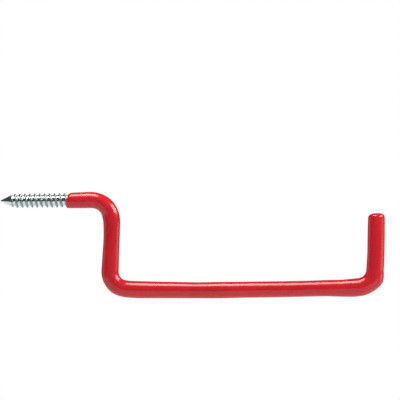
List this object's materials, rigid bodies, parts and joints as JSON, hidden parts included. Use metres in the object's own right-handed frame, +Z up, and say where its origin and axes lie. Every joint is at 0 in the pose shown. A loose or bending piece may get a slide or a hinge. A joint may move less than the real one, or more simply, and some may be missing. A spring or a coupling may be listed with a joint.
{
  "type": "utility hook",
  "caption": "Screw-in utility hook: a bent round steel rod with a lag-screw end, dipped in red vinyl, with a long cradle and an upturned end for hanging tools or ladders.",
  "frame": {"origin": "on the screw's axis where the coating ends, which is the wall's face once the screw is driven home", "axes": "+X out of the wall along the screw's axis, +Z up, +Y square to the plane that the hook lies in"},
  "size_m": [0.2189, 0.0092, 0.0611],
  "materials": {
    "zinc_plated_steel": "bright zinc plating",
    "red_vinyl": "glossy dip-moulded vinyl"
  },
  "bodies": {
    "root": {"steel_rod": "zinc_plated_steel", "vinyl_coating": "red_vinyl"}
  },
  "joints": []
}
